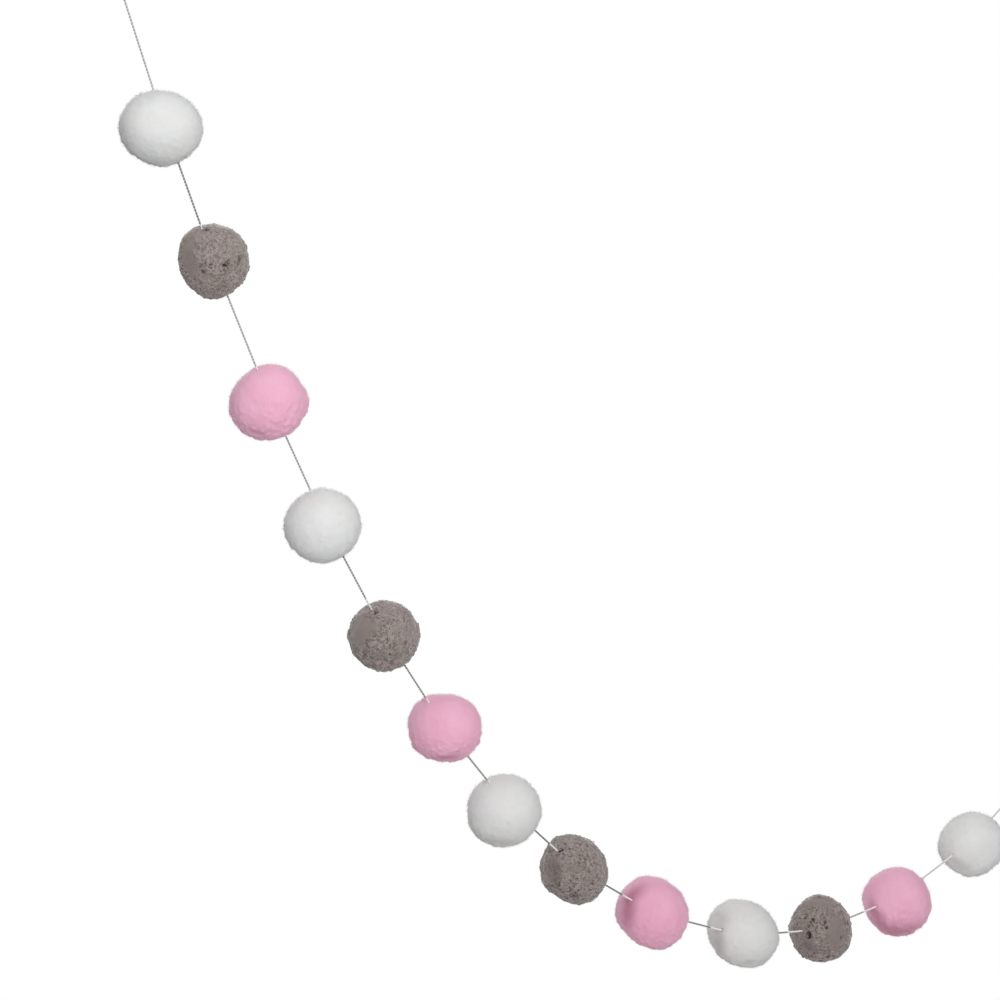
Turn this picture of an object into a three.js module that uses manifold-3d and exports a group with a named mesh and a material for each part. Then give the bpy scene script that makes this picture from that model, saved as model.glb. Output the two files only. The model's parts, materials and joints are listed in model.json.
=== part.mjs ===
// A garland of hand-rolled felt balls on a cotton thread, hanging between two hooks.
// Millimetres, +Z up. It hangs in the XZ plane, and the origin is the top of the left loop.
import * as THREE from 'three';
import { mergeVertices } from 'three/addons/utils/BufferGeometryUtils.js';
import Module from 'manifold-3d';

// The thread: two-ply cotton, pulled straight from ball to ball by their weight.
const THREAD_DIAMETER = 0.8;
const THREAD_SIDES = 8;
const THREAD_STEPS = 80;
const THREAD_LOOK = { colour: 0xe9e6df, roughness: 0.8 };
// The hole that a needle leaves in each ball, and the funnel that the felt draws in to at its mouths.
const HOLE_CLEARANCE = 0.3;
const FUNNEL_WIDTH = 3.2;
const FUNNEL_DEPTH = 1.5;
const FUNNEL_SIDES = 10;
const FUNNEL_SEARCH_STEP = 0.1;
// From the bend of the thread in a ball to each end of the straight hole through it.
const HOLE_REACH = 11.3;

// The loop tied at each end, which a hook holds: a knot of four wraps, a loop and a cut tail.
const LOOP_LENGTH = 20;
const LOOP_WIDTH = 8;
const LOOP_NECK = 0.88;
const LOOP_STEPS = 28;
const KNOT_WRAPS = 4;
const KNOT_LENGTH = KNOT_WRAPS * THREAD_DIAMETER;
const KNOT_RADIUS = 1.5;
const KNOT_WAIST = 1.3;
const KNOT_SIDES = 12;
const TAIL_STEPS = 4;
// How wide the loop is on its way out, as parts of its length and of its width.
const LOOP_SHAPE = [
  { along: 0.4, across: 0.6 },
  { along: 0.75, across: 1 },
  { along: 0.93, across: 0.6 },
];
// The cut tail, from inside the knot: along the thread, aside of it, and towards the viewer.
const TAIL_ROUTE = [
  { along: 1.9, aside: 0, forward: 0 },
  { along: 1.6, aside: -1.5, forward: 0.5 },
  { along: 0, aside: -4.5, forward: 1.2 },
];
// Pieces that touch are this far apart.
const SEAT_GAP = 0.3;

// Where the thread runs: x and z at the left knot, at its bend in each ball, and at the right knot.
const THREAD_ROUTE = [
  [9.9, -21.3],
  [29.2, -63.1],
  [51.8, -107.0],
  [78.7, -153.7],
  [105.6, -195.0],
  [135.4, -234.4],
  [165.9, -268.2],
  [198.2, -297.4],
  [234.6, -322.7],
  [277.2, -343.3],
  [328.3, -357.4],
  [373.7, -360.4],
  [419.1, -354.1],
  [464.9, -338.0],
  [485.0, -326.7],
];

// Wool of three colours. Rough is how far its surface stands up and down, most in the curly taupe wool.
const WOOLS = {
  white: { colour: 0xdfe0df, rough: 0.12 },
  taupe: { colour: 0x91857f, rough: 0.3 },
  pink: { colour: 0xe3a9c2, rough: 0.12 },
};
const WOOL_ROUGHNESS = 1;

// Each ball, from the left. Wide and tall are its outline's two widths, and lean turns them, in degrees
// anticlockwise. Drop is how far its middle hangs below its hole. Each lump is [clock, rise]: its place on
// the outline, in degrees anticlockwise from the right, and how far it stands out, or in if negative.
const BALLS = [
  {
    wool: 'white', wide: 27.5, tall: 24.4, lean: -8, drop: 2.3,
    lumps: [[122, 0.4], [245, -0.3], [278, 0.5], [315, -0.5]],
  },
  {
    wool: 'taupe', wide: 24.7, tall: 23.1, lean: -74, drop: 0.1,
    lumps: [[75, -0.6], [138, 0.5], [200, -0.5], [256, 0.5], [306, -0.6]],
  },
  {
    wool: 'pink', wide: 26.4, tall: 24.9, lean: 28, drop: 1.0,
    lumps: [[0, 0.6], [34, -0.8], [82, 0.5], [138, -0.5], [195, 0.5], [280, -0.4]],
  },
  {
    wool: 'white', wide: 26.0, tall: 24.7, lean: 13, drop: 2.0,
    lumps: [[90, 0.4], [128, -0.3], [180, 0.3], [225, -0.5], [272, 0.3]],
  },
  {
    wool: 'taupe', wide: 24.1, tall: 24.0, lean: 0, drop: 1.0,
    lumps: [[15, 0.3], [162, -0.4], [182, 0.6], [225, -0.5], [285, -0.3]],
  },
  {
    wool: 'pink', wide: 26.0, tall: 23.6, lean: -7, drop: 0.5,
    lumps: [[0, -0.4], [40, 0.5], [88, -0.5], [122, 0.5], [150, 0.4], [187, -0.5], [218, 0.5], [300, 0.3]],
  },
  {
    wool: 'white', wide: 26.0, tall: 25.3, lean: 15, drop: 3.2,
    lumps: [[65, 0.3], [182, -0.5], [295, -0.3]],
  },
  {
    wool: 'taupe', wide: 25.1, tall: 22.7, lean: -55, drop: 1.7,
    lumps: [[20, 0.3], [54, -0.4], [115, 0.4], [150, -0.5], [212, 0.5], [254, -0.4]],
  },
  {
    wool: 'pink', wide: 27.2, tall: 24.7, lean: -43, drop: 0.9,
    lumps: [[60, -0.5], [104, 0.3], [134, -0.4], [188, 0.5], [228, -0.5], [286, 0.6], [336, -0.4]],
  },
  {
    wool: 'white', wide: 27.1, tall: 23.5, lean: -35, drop: 0.2,
    lumps: [[88, -0.3], [112, 0.4], [294, 0.4], [330, -0.5], [345, 0.3]],
  },
  {
    wool: 'taupe', wide: 24.9, tall: 22.9, lean: -74, drop: 0.9,
    lumps: [[6, -0.6], [90, 0.5], [126, -0.5], [182, 0.3], [276, -0.3], [330, 0.6]],
  },
  {
    wool: 'pink', wide: 26.2, tall: 25.1, lean: -53, drop: 2.3,
    lumps: [[70, 0.4], [120, -0.7], [166, 0.6], [208, -0.4], [256, 0.3]],
  },
  {
    wool: 'white', wide: 25.2, tall: 24.2, lean: 15, drop: 2.2,
    lumps: [[132, -0.5], [190, 0.5], [236, -0.4], [276, 0.4], [316, -0.4]],
  },
];
const BALL_DETAIL = 5;
// The width of an outline's lump, in degrees.
const LUMP_SPREAD = 14;
// Lumps that hand rolling leaves on the two faces of a ball, between these angles off its outline.
const FACE_LUMPS = 12;
const FACE_LUMP_RISE = 0.5;
const FACE_LUMP_SPREAD = 20;
const FACE_LUMP_NEAREST = 38;
const FACE_LUMP_FURTHEST = 86;
// Each ball's run of chance starts from its own number.
const FIRST_SEED = 101;
const SEED_STEP = 37;
const CHANCE_FACTOR = 16807;
const CHANCE_RANGE = 2147483647;

// The side that the outlines are given for: its right, up, and the way towards whoever looks.
const VIEW_TURN = THREE.MathUtils.degToRad(50);
const RIGHT = new THREE.Vector3(Math.cos(VIEW_TURN), -Math.sin(VIEW_TURN), 0);
const UP = new THREE.Vector3(0, 0, 1);
const TOWARD = new THREE.Vector3(-Math.sin(VIEW_TURN), -Math.cos(VIEW_TURN), 0);
// The axis of a lathe or a cone.
const AXIS = new THREE.Vector3(0, 1, 0);

// Points closer than this are one point.
const MERGE_DISTANCE = 1e-4;

const wasm = await Module();
wasm.setup();

// A closed geometry as a solid that can be joined and cut.
function solidOf(geometry) {
  const bare = geometry.clone();
  bare.deleteAttribute('normal');
  bare.deleteAttribute('uv');
  const merged = mergeVertices(bare, MERGE_DISTANCE);
  return new wasm.Manifold(new wasm.Mesh({
    numProp: 3,
    vertProperties: new Float32Array(merged.attributes.position.array),
    triVerts: new Uint32Array(merged.index.array),
  }));
}

// A solid as a geometry again.
function geometryOf(solid) {
  const mesh = solid.getMesh();
  const geometry = new THREE.BufferGeometry();
  geometry.setAttribute('position', new THREE.BufferAttribute(mesh.vertProperties, mesh.numProp));
  geometry.setIndex(new THREE.BufferAttribute(mesh.triVerts, 1));
  geometry.computeVertexNormals();
  return geometry;
}

// The same run of numbers from 0 to 1 each time, for unevenness that is like chance.
function chanceFrom(seed) {
  let state = seed;
  return () => {
    state = (state * CHANCE_FACTOR) % CHANCE_RANGE;
    return state / CHANCE_RANGE;
  };
}

// A round tube along a curve.
function tubeAlong(curve, radius, steps) {
  const section = new THREE.Shape();
  for (let side = 0; side < THREAD_SIDES; side += 1) {
    const turn = (2 * Math.PI * side) / THREAD_SIDES;
    const corner = [radius * Math.cos(turn), radius * Math.sin(turn)];
    if (side === 0) section.moveTo(...corner);
    else section.lineTo(...corner);
  }
  section.closePath();
  return new THREE.ExtrudeGeometry(section, { steps, bevelEnabled: false, extrudePath: curve });
}

const corners = THREAD_ROUTE.map(([x, z]) => new THREE.Vector3(x, 0, z));

// The unit direction from one point to another.
function heading(from, to) {
  return to.clone().sub(from).normalize();
}

// The two holes of each ball: the thread comes in at one and leaves at the other.
function holesOf(index) {
  const [before, bend, after] = corners.slice(index, index + 3);
  const inward = heading(before, bend);
  const outward = heading(bend, after);
  return {
    entry: bend.clone().addScaledVector(inward, -HOLE_REACH),
    exit: bend.clone().addScaledVector(outward, HOLE_REACH),
    inward,
    outward,
  };
}

const holes = BALLS.map((ball, index) => holesOf(index));

// The thread's line: straight through each ball, and straight from ball to ball.
function threadLine() {
  const leftEnd = corners[0].clone().addScaledVector(heading(corners[0], corners[1]), SEAT_GAP);
  const back = heading(corners.at(-1), corners.at(-2));
  const rightEnd = corners.at(-1).clone().addScaledVector(back, SEAT_GAP);
  const points = [leftEnd, ...holes.flatMap(({ entry, exit }) => [entry, exit]), rightEnd];
  const line = new THREE.CurvePath();
  for (let i = 1; i < points.length; i += 1) {
    line.add(new THREE.LineCurve3(points[i - 1], points[i]));
  }
  return line;
}

// The unit direction of a place on a ball: clock as in the table, and turned towards the viewer.
function placeOnBall(clock, toward) {
  const around = THREE.MathUtils.degToRad(clock);
  const facing = THREE.MathUtils.degToRad(toward);
  return new THREE.Vector3()
    .addScaledVector(RIGHT, Math.cos(around) * Math.cos(facing))
    .addScaledVector(UP, Math.sin(around) * Math.cos(facing))
    .addScaledVector(TOWARD, Math.sin(facing));
}

// All the lumps of a ball: those of its outline, and those of its two faces.
function lumpsOf(ball, chance) {
  const outline = ball.lumps.map(([clock, rise]) => ({
    place: placeOnBall(clock, 0),
    rise,
    spread: THREE.MathUtils.degToRad(LUMP_SPREAD),
  }));
  const faces = Array.from({ length: FACE_LUMPS }, (_, i) => {
    const side = i % 2 ? 1 : -1;
    const off = THREE.MathUtils.lerp(FACE_LUMP_NEAREST, FACE_LUMP_FURTHEST, chance());
    return {
      place: placeOnBall(360 * chance(), side * off),
      rise: FACE_LUMP_RISE * (2 * chance() - 1),
      spread: THREE.MathUtils.degToRad(FACE_LUMP_SPREAD),
    };
  });
  return [...outline, ...faces];
}

// How far a ball's surface is from its middle in a direction, without the roughness of its wool.
function ballReach(ball, lumps, direction) {
  const lean = THREE.MathUtils.degToRad(ball.lean);
  const across = direction.dot(RIGHT) * Math.cos(lean) + direction.dot(UP) * Math.sin(lean);
  const along = direction.dot(UP) * Math.cos(lean) - direction.dot(RIGHT) * Math.sin(lean);
  const depth = direction.dot(TOWARD);
  const deep = (ball.wide + ball.tall) / 2;
  const round = 0.5 / Math.hypot(across / ball.wide, along / ball.tall, depth / deep);
  return lumps.reduce((reach, { place, rise, spread }) => {
    const away = direction.angleTo(place) / spread;
    return reach + rise * Math.exp(-away * away);
  }, round);
}

// The funnel at a hole's mouth: a cone that points into the ball. Its middle is where the thread leaves the
// ball, and it has the funnel's width there, half that of its base.
function funnel(ball, lumps, middle, hole, outward) {
  const mouth = hole.clone();
  const fromMiddle = new THREE.Vector3();
  do {
    mouth.addScaledVector(outward, FUNNEL_SEARCH_STEP);
    fromMiddle.subVectors(mouth, middle);
  } while (fromMiddle.length() < ballReach(ball, lumps, fromMiddle.clone().normalize()));
  const cone = new THREE.ConeGeometry(FUNNEL_WIDTH, 2 * FUNNEL_DEPTH, FUNNEL_SIDES);
  cone.applyQuaternion(new THREE.Quaternion().setFromUnitVectors(AXIS, outward.clone().negate()));
  cone.translate(mouth.x, mouth.y, mouth.z);
  return solidOf(cone);
}

// A ball: an uneven round of felt, with a funnel at each hole and room for the thread.
function feltBall(ball, index, threadRoom) {
  const chance = chanceFrom(FIRST_SEED + SEED_STEP * index);
  const { entry, exit, inward, outward } = holes[index];
  const along = heading(entry, exit);
  const below = new THREE.Vector3(along.z, 0, -along.x);
  const middle = entry.clone().add(exit).multiplyScalar(0.5).addScaledVector(below, ball.drop);
  const lumps = lumpsOf(ball, chance);
  const round = new THREE.IcosahedronGeometry(1, BALL_DETAIL);
  round.deleteAttribute('normal');
  round.deleteAttribute('uv');
  const surface = mergeVertices(round, MERGE_DISTANCE);
  const points = surface.attributes.position;
  const direction = new THREE.Vector3();
  for (let i = 0; i < points.count; i += 1) {
    direction.fromBufferAttribute(points, i).normalize();
    const nub = WOOLS[ball.wool].rough * (2 * chance() - 1);
    const point = direction.clone().multiplyScalar(ballReach(ball, lumps, direction) + nub).add(middle);
    points.setXYZ(i, point.x, point.y, point.z);
  }
  return solidOf(surface)
    .subtract(threadRoom)
    .subtract(funnel(ball, lumps, middle, entry, inward.clone().negate()))
    .subtract(funnel(ball, lumps, middle, exit, outward));
}

// The wrapped knot of an end loop, lying along the axis, from 0.
function knotProfile() {
  const profile = [new THREE.Vector2(0, 0), new THREE.Vector2(KNOT_WAIST, 0)];
  for (let wrap = 0; wrap < KNOT_WRAPS; wrap += 1) {
    profile.push(new THREE.Vector2(KNOT_RADIUS, (wrap + 0.5) * THREAD_DIAMETER));
    profile.push(new THREE.Vector2(KNOT_WAIST, (wrap + 1) * THREAD_DIAMETER));
  }
  profile.push(new THREE.Vector2(0, KNOT_LENGTH));
  return profile;
}

// A loop tied in the thread's end. Its knot starts at face, and the loop points outward.
function endLoop(face, outward) {
  const sideways = new THREE.Vector3(-outward.z, 0, outward.x);
  const at = (along, aside, forward = 0) => face.clone()
    .addScaledVector(outward, along)
    .addScaledVector(sideways, aside)
    .add(new THREE.Vector3(0, -forward, 0));

  const knot = new THREE.LatheGeometry(knotProfile(), KNOT_SIDES);
  knot.applyQuaternion(new THREE.Quaternion().setFromUnitVectors(AXIS, outward));
  knot.translate(face.x, face.y, face.z);

  const neck = [KNOT_LENGTH / 2, KNOT_LENGTH].map((along) => ({ along, aside: LOOP_NECK / 2 }));
  const flank = LOOP_SHAPE.map(({ along, across }) => ({
    along: KNOT_LENGTH + along * LOOP_LENGTH,
    aside: (across * LOOP_WIDTH) / 2,
  }));
  const near = [...neck, ...flank];
  const far = near.map(({ along, aside }) => ({ along, aside: -aside })).reverse();
  const top = { along: KNOT_LENGTH + LOOP_LENGTH, aside: 0 };
  const loopLine = new THREE.CatmullRomCurve3(
    [...near, top, ...far].map(({ along, aside }) => at(along, aside)),
  );
  const tailLine = new THREE.CatmullRomCurve3(
    TAIL_ROUTE.map(({ along, aside, forward }) => at(along, aside, forward)),
  );
  return solidOf(knot)
    .add(solidOf(tubeAlong(loopLine, THREAD_DIAMETER / 2, LOOP_STEPS)))
    .add(solidOf(tubeAlong(tailLine, THREAD_DIAMETER / 2, TAIL_STEPS)));
}

// A named mesh with a material of its own.
function piece(name, geometry, { colour, roughness }) {
  const material = new THREE.MeshStandardMaterial({ color: colour, roughness, metalness: 0 });
  const mesh = new THREE.Mesh(geometry, material);
  mesh.name = name;
  return mesh;
}

const garland = new THREE.Group();
const line = threadLine();
garland.add(piece('thread', tubeAlong(line, THREAD_DIAMETER / 2, THREAD_STEPS), THREAD_LOOK));

const threadRoom = solidOf(tubeAlong(line, THREAD_DIAMETER / 2 + HOLE_CLEARANCE, THREAD_STEPS));
BALLS.forEach((ball, index) => {
  const name = `ball_${String(index + 1).padStart(2, '0')}_${ball.wool}`;
  const solid = feltBall(ball, index, threadRoom);
  const look = { colour: WOOLS[ball.wool].colour, roughness: WOOL_ROUGHNESS };
  garland.add(piece(name, geometryOf(solid), look));
});

const leftLoop = endLoop(corners[0], heading(corners[1], corners[0]));
garland.add(piece('end_loop_left', geometryOf(leftLoop), THREAD_LOOK));
const rightLoop = endLoop(corners.at(-1), heading(corners.at(-2), corners.at(-1)));
garland.add(piece('end_loop_right', geometryOf(rightLoop), THREAD_LOOK));

export default garland;
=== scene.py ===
import json
import math

import bpy
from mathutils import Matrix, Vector

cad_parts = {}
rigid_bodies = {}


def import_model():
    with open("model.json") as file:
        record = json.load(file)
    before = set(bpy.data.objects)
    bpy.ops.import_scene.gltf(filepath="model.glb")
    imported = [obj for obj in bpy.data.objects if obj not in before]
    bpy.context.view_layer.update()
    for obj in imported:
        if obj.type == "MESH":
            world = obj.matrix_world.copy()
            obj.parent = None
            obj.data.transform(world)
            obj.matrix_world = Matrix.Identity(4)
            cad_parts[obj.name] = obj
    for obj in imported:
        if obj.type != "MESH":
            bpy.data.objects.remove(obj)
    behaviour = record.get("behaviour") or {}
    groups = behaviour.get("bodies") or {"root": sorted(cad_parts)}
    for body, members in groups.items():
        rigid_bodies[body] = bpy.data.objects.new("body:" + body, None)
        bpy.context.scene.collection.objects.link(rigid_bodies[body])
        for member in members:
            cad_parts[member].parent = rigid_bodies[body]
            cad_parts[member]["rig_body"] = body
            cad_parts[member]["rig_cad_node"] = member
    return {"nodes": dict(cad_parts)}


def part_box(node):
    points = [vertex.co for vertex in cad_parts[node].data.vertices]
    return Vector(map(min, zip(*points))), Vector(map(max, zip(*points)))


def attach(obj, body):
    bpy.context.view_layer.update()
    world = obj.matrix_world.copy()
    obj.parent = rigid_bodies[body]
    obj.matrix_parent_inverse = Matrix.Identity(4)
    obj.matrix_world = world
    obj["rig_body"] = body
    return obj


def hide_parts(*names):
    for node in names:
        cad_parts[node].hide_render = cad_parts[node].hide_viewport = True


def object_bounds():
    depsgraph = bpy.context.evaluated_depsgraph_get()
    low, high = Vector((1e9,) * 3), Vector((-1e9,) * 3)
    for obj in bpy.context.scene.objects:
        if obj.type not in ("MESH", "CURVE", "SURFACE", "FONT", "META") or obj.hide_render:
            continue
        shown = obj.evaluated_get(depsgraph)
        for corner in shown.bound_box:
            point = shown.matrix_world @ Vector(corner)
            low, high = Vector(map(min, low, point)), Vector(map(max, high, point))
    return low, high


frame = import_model()
cad_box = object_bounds()

# The camera looks from 50 degrees to the left of square on to the garland and from 5 degrees above level.
# It stands 2.3 m off with a long lens, so the balls get only a little smaller towards the right.
VIEW_TARGET = Vector((0.1947, 0, -0.1936))
VIEW_TURN = math.radians(-50)
VIEW_RISE = math.radians(5)
VIEW_DISTANCE = 2.3412
LENS_LENGTH = 250
FILM_WIDTH = 36

to_camera = Vector((
    math.sin(VIEW_TURN) * math.cos(VIEW_RISE),
    -math.cos(VIEW_TURN) * math.cos(VIEW_RISE),
    math.sin(VIEW_RISE),
))
to_right = Vector((math.cos(VIEW_TURN), math.sin(VIEW_TURN), 0))
to_top = to_camera.cross(to_right)
bpy.ops.object.camera_add(location=VIEW_TARGET + to_camera * VIEW_DISTANCE)
camera = bpy.context.object
camera.name = "camera"
camera.rotation_euler = (-to_camera).to_track_quat("-Z", "Y").to_euler()
camera.data.lens = LENS_LENGTH
camera.data.sensor_width = FILM_WIDTH
bpy.context.scene.camera = camera
bpy.context.scene.view_settings.view_transform = "Standard"

# The thread is two plies of cotton twisted together, 0.8 mm thick. It runs straight from ball to ball and
# straight through each one, and bends at the holes. It is twisted upright and then laid along its route.
THREAD_DIAMETER = 0.0008
THREAD_RADIUS = THREAD_DIAMETER / 2
THREAD_TWIST = 0.0023
PLY_SIDES = 6
TWIST_STEPS = 6
HOLE_REACH = 0.0113
SEAT_GAP = 0.0003
MERGE_DISTANCE = 1e-7
# x and z at the left knot, at the bend in each ball, and at the right knot.
THREAD_ROUTE = [
    (0.0099, -0.0213),
    (0.0292, -0.0631),
    (0.0518, -0.1070),
    (0.0787, -0.1537),
    (0.1056, -0.1950),
    (0.1354, -0.2344),
    (0.1659, -0.2682),
    (0.1982, -0.2974),
    (0.2346, -0.3227),
    (0.2772, -0.3433),
    (0.3283, -0.3574),
    (0.3737, -0.3604),
    (0.4191, -0.3541),
    (0.4649, -0.3380),
    (0.4850, -0.3267),
]
# The thread is painted grey between the balls as painted shade, and white near the holes as painted light.
# These say how much painted light each span has, from left to right, and how far out from each ball's upper
# or left hole the thread is painted fully lit.
SPAN_PAINTED_LIGHT = [0.6, 0.22, 0.53, 0.42, 0.29, 0.25, 0.2, 0.0, 0.0, 0.1, 0.03, 0.32, 0.7, 0.7]
PAINTED_LIGHT_REACH = [
    0.0012, 0.0018, 0.0022, 0.0022, 0.0046, 0.0030, 0.0022, 0.0050, 0.0070, 0.0078, 0.0080, 0.0088, 0.0066,
]
PAINTED_LIGHT_EDGE = 0.0006
# Colours of the cotton at a ply's crest and in the groove between the plies, painted darker as shade, for the
# thread in painted shade and in painted light.
CREST_IN_PAINTED_SHADE = (0.36, 0.36, 0.345, 1)
CREST_IN_PAINTED_LIGHT = (0.96, 0.95, 0.93, 1)
GROOVE_IN_PAINTED_SHADE = (0.03, 0.03, 0.028, 1)
GROOVE_IN_PAINTED_LIGHT = (0.8, 0.78, 0.75, 1)
COTTON_SCALE = 3500.0
COTTON_STREAKS = 0.6


def deselect_all():
    """Leaves nothing selected, because an operator acts on all that is."""
    if bpy.context.mode != "OBJECT":
        bpy.ops.object.mode_set(mode="OBJECT")
    bpy.ops.object.select_all(action="DESELECT")


def pick(piece):
    """Makes one object the selected and active one."""
    deselect_all()
    piece.select_set(True)
    bpy.context.view_layer.objects.active = piece


def apply_modifiers(piece):
    """Makes a piece's modifiers part of its mesh."""
    pick(piece)
    for modifier in list(piece.modifiers):
        bpy.ops.object.modifier_apply(modifier=modifier.name)


def join(pieces, name):
    """Joins finished meshes into the first of them."""
    pick(pieces[0])
    for piece in pieces:
        piece.select_set(True)
    if len(pieces) > 1:
        bpy.ops.object.join()
    joined = bpy.context.object
    joined.name = name
    joined.data.name = name
    return joined


def store(piece, name, values):
    """Keeps one number for each point of a mesh under a name, for its material."""
    kept = piece.data.attributes.new(name, "FLOAT", "POINT")
    kept.data.foreach_set("value", values)


def twisted_thread(name, route):
    """Two plies wound round each other, laid along a route and closed at both ends."""
    length = sum((b - a).length for a, b in zip(route, route[1:]))
    turns = max(1, round(length / THREAD_TWIST))
    plies = []
    for side in (-1, 1):
        deselect_all()
        bpy.ops.mesh.primitive_circle_add(
            vertices=PLY_SIDES,
            radius=THREAD_RADIUS / 2,
            location=(side * THREAD_RADIUS / 2, 0, 0),
        )
        ply = bpy.context.object
        bpy.ops.object.transform_apply(location=True, rotation=True, scale=True)
        winding = ply.modifiers.new("winding", "SCREW")
        winding.screw_offset = length / turns
        winding.iterations = turns
        winding.steps = TWIST_STEPS
        winding.render_steps = TWIST_STEPS
        apply_modifiers(ply)
        bpy.ops.object.mode_set(mode="EDIT")
        bpy.ops.mesh.select_all(action="SELECT")
        bpy.ops.mesh.remove_doubles(threshold=MERGE_DISTANCE)
        bpy.ops.mesh.fill_holes(sides=PLY_SIDES)
        bpy.ops.mesh.normals_make_consistent(inside=False)
        bpy.ops.object.mode_set(mode="OBJECT")
        plies.append(ply)
    thread = join(plies, name)
    store(thread, "groove", [1 - v.co.xy.length / THREAD_RADIUS for v in thread.data.vertices])
    line = bpy.data.curves.new(name + "_line", "CURVE")
    line.dimensions = "3D"
    spline = line.splines.new("POLY")
    spline.points.add(len(route) - 1)
    for point, place in zip(spline.points, route):
        point.co = (*place, 1)
    guide = bpy.data.objects.new(name + "_guide", line)
    bpy.context.collection.objects.link(guide)
    laying = thread.modifiers.new("laying", "CURVE")
    laying.object = guide
    laying.deform_axis = "POS_Z"
    apply_modifiers(thread)
    bpy.ops.object.shade_smooth()
    bpy.data.objects.remove(guide)
    return thread


def thread_points():
    """The thread's line: its left end, each ball's two holes, and its right end."""
    points = [corners[0] + (corners[1] - corners[0]).normalized() * SEAT_GAP]
    for before, bend, after in zip(corners, corners[1:], corners[2:]):
        points.append(bend - (bend - before).normalized() * HOLE_REACH)
        points.append(bend + (after - bend).normalized() * HOLE_REACH)
    points.append(corners[-1] + (corners[-2] - corners[-1]).normalized() * SEAT_GAP)
    return points


def painted_light_share(place):
    """How much painted light, rather than painted shade, the thread has at a place, from 0 to 1."""
    spans = list(zip(corners, corners[1:], SPAN_PAINTED_LIGHT))
    clean = next((span for before, after, span in spans if place.x < after.x), SPAN_PAINTED_LIGHT[-1])
    for before, bend, reach in zip(corners, corners[1:], PAINTED_LIGHT_REACH):
        entry = bend - (bend - before).normalized() * HOLE_REACH
        along = (entry - place).dot((bend - before).normalized())
        if -2 * HOLE_REACH < along < reach + PAINTED_LIGHT_EDGE:
            clean = max(clean, min(1.0, (reach + PAINTED_LIGHT_EDGE - along) / PAINTED_LIGHT_EDGE))
    return clean


def add_node(tree, kind, values=None, **settings):
    """Adds a node with its settings, and sets or links the sockets that values names."""
    node = tree.nodes.new(kind)
    for setting, value in settings.items():
        setattr(node, setting, value)
    for socket, value in (values or {}).items():
        entry = node.inputs[socket]
        if isinstance(value, bpy.types.NodeSocket):
            tree.links.new(value, entry)
        else:
            entry.default_value = value
    return node


def math_node(tree, operation, *values):
    """A maths node on numbers or sockets."""
    node = add_node(tree, "ShaderNodeMath", dict(enumerate(values)), operation=operation)
    return node.outputs["Value"]


def point_value(tree, name, output="Fac"):
    """What a mesh keeps at its points under a name, in a material."""
    node = add_node(tree, "ShaderNodeAttribute", attribute_name=name)
    return node.outputs[output]


def mix_colours(tree, factor, first, second):
    """Mixes two colours and returns the mixed one."""
    node = add_node(tree, "ShaderNodeMix", {"Factor": factor, "A": first, "B": second}, data_type="RGBA")
    return node.outputs["Result"]


def cotton_material():
    """Bleached cotton with painted shade and light along it, and painted shade in the groove between the
    plies.
    """
    material = bpy.data.materials.new("twisted_cotton")
    material.use_nodes = True
    tree = material.node_tree
    shader = tree.nodes["Principled BSDF"]
    place = add_node(tree, "ShaderNodeTexCoord")
    fibres = add_node(tree, "ShaderNodeTexNoise", {
        "Vector": place.outputs["Object"], "Scale": COTTON_SCALE, "Detail": 3.0,
    })
    clean = point_value(tree, "clean")
    crest = mix_colours(tree, clean, CREST_IN_PAINTED_SHADE, CREST_IN_PAINTED_LIGHT)
    hollow = mix_colours(tree, clean, GROOVE_IN_PAINTED_SHADE, GROOVE_IN_PAINTED_LIGHT)
    # The deeper a point lies in the groove between the plies, the more painted shade it gets.
    depth = add_node(tree, "ShaderNodeMapRange", {
        "Value": point_value(tree, "groove"), "From Min": 0.05, "From Max": 0.5,
    })
    streaks = math_node(tree, "MULTIPLY_ADD", fibres.outputs["Fac"], COTTON_STREAKS, -COTTON_STREAKS / 2)
    shade = add_node(tree, "ShaderNodeClamp", {
        "Value": math_node(tree, "ADD", depth.outputs["Result"], streaks),
    })
    colour = mix_colours(tree, shade.outputs["Result"], crest, hollow)
    bump = add_node(tree, "ShaderNodeBump", {
        "Height": fibres.outputs["Fac"], "Strength": 0.6, "Distance": 0.0001,
    })
    tree.links.new(colour, shader.inputs["Base Color"])
    tree.links.new(bump.outputs["Normal"], shader.inputs["Normal"])
    shader.inputs["Roughness"].default_value = 0.8
    shader.inputs["Sheen Weight"].default_value = 0.2
    return material


corners = [Vector((x, 0, z)) for x, z in THREAD_ROUTE]
cotton = cotton_material()
thread_line = thread_points()
thread = twisted_thread("cotton_thread", thread_line)
# The thread keeps at each point how much painted light, against painted shade, its colour gets.
store(thread, "clean", [painted_light_share(vertex.co) for vertex in thread.data.vertices])
thread.data.materials.append(cotton)

# A loop is tied in each end of the thread, for a hook. The thread doubles back on itself, is wound four
# times round both strands as a knot, and its cut tail sticks out of the knot.
LOOP_LENGTH = 0.020
LOOP_WIDTH = 0.008
KNOT_WRAPS = 4
KNOT_LENGTH = KNOT_WRAPS * THREAD_DIAMETER
WRAP_RADIUS = 0.0011
WRAP_STEPS = 12
BEND_STEPS = 8
TAIL_STEPS = 6
# How much painted light the loops have, from 0, painted shade, to 1, painted light.
LOOP_PAINTED_LIGHT = 0.5
# How far the tail's route is from its start on the knot: sideways, back along the thread, and forward.
TAIL_ROUTE = [
    (0.0, 0.0, 0.0),
    (0.0005, 0.0003, -0.0004),
    (0.0032, 0.0018, 0.0003),
    (0.0058, 0.0030, 0.0006),
]


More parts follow.
